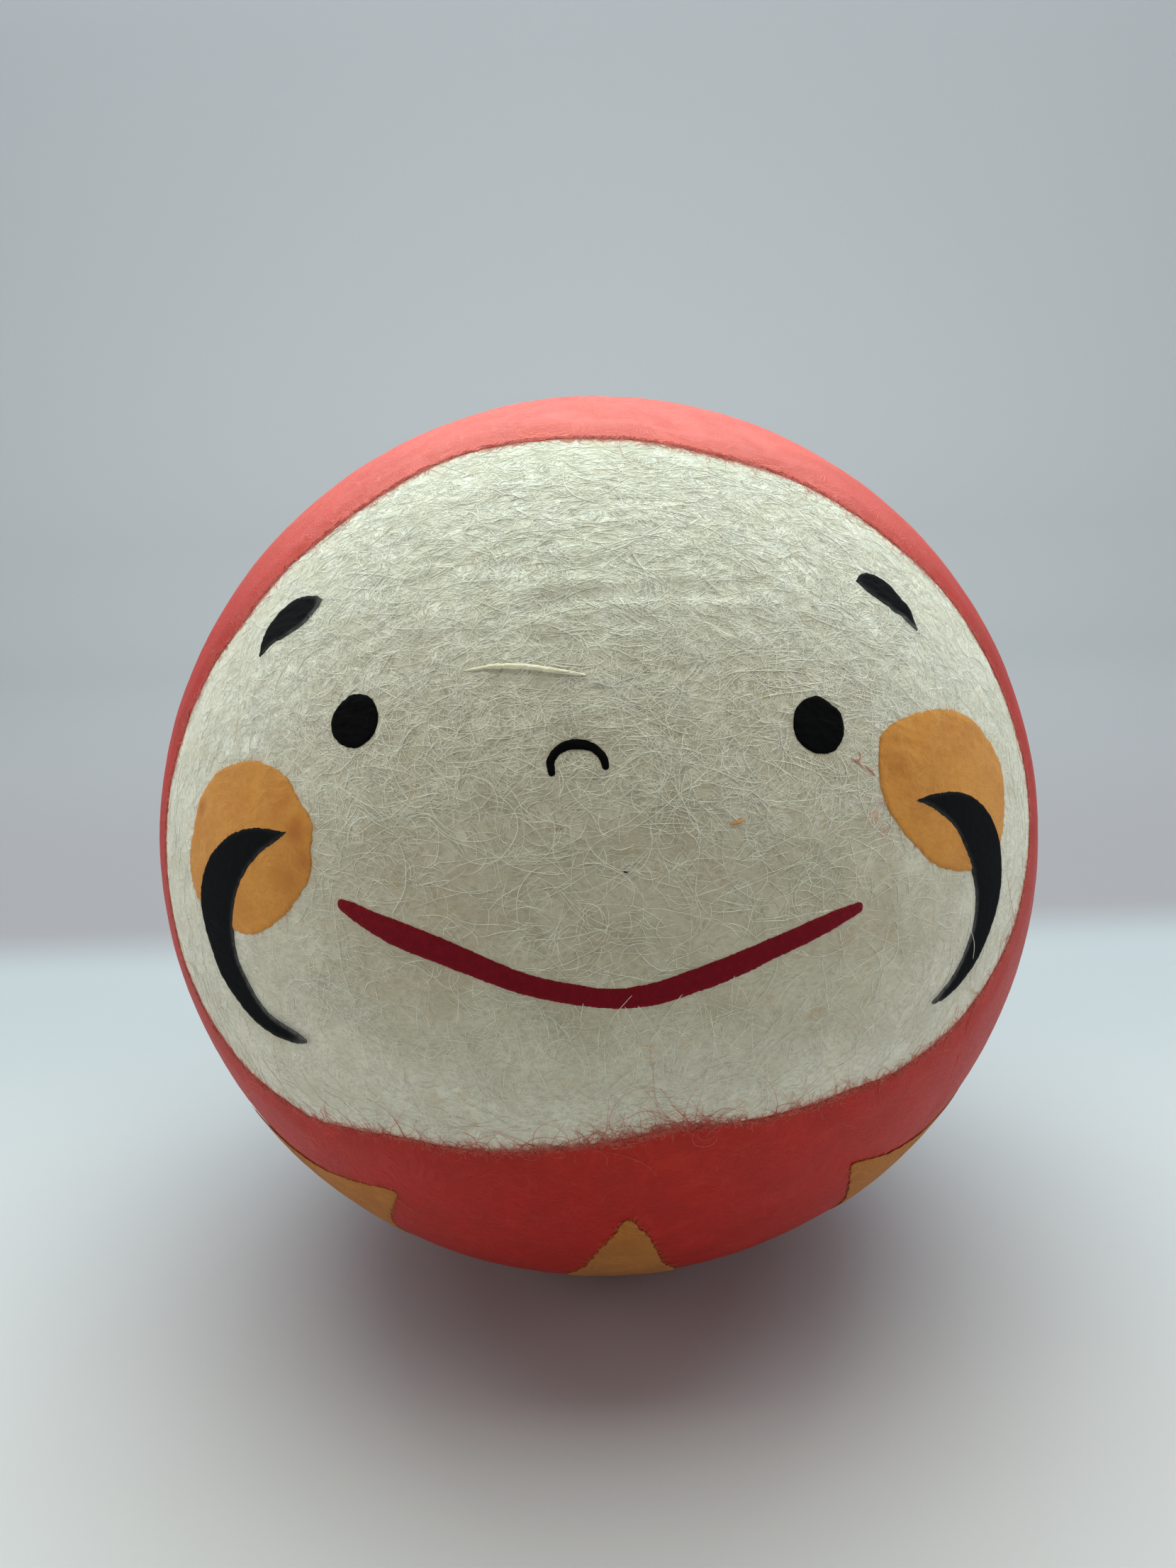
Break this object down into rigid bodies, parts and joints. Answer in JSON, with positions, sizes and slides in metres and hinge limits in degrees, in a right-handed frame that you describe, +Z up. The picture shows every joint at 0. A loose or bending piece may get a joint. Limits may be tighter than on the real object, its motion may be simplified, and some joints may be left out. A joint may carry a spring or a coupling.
{
  "type": "daruma doll",
  "caption": "Round papier-mâché tumbler doll in torn red and cream washi, with a painted smiling face and a clay weight inside.",
  "frame": {"origin": "middle of the flat card foot, on the surface the doll stands on", "axes": "+Z up, the face looks along -Y, +X is on the viewer's right when facing the doll"},
  "size_m": [0.094, 0.0939, 0.0919],
  "materials": {
    "papier_mache": "rough moulded pulp, 1.5 mm thick",
    "joint_tape": "thin pasted paper strip",
    "clay": "matt dried clay",
    "card": "matt grey-brown card",
    "washi_cream": "matt washi with long fibres",
    "washi_red": "matt dyed washi with torn feathered edges",
    "washi_orange": "matt dyed washi disc",
    "washi_ochre": "matt dyed washi with torn edges",
    "ink_black": "opaque black paint on washi",
    "ink_brush": "brushed black ink, thinning to grey along one side",
    "paint_crimson": "opaque dark crimson paint on washi"
  },
  "bodies": {
    "root": {"shell_front": "papier_mache", "shell_back": "papier_mache", "seam_tape": "joint_tape", "clay_weight": "clay", "base_disc": "card", "face_paper": "washi_cream", "red_front_low_left": "washi_red", "red_front_low_right": "washi_red", "red_crown_left": "washi_red", "red_crown_right": "washi_red", "red_side_left": "washi_red", "red_side_right": "washi_red", "red_back_1": "washi_red", "red_back_2": "washi_red", "red_back_3": "washi_red", "red_back_4": "washi_red", "eye_left": "ink_black", "eye_right": "ink_black", "nose": "ink_black", "mouth": "paint_crimson", "cheek_left": "washi_orange", "cheek_right": "washi_orange", "brow_left": "ink_brush", "brow_right": "ink_brush", "whisker_left": "ink_brush", "whisker_right": "ink_brush", "yellow_1": "washi_ochre", "yellow_2": "washi_ochre", "yellow_3": "washi_ochre", "yellow_4": "washi_ochre", "yellow_5": "washi_ochre", "yellow_6": "washi_ochre", "yellow_7": "washi_ochre", "yellow_8": "washi_ochre"}
  },
  "joints": []
}
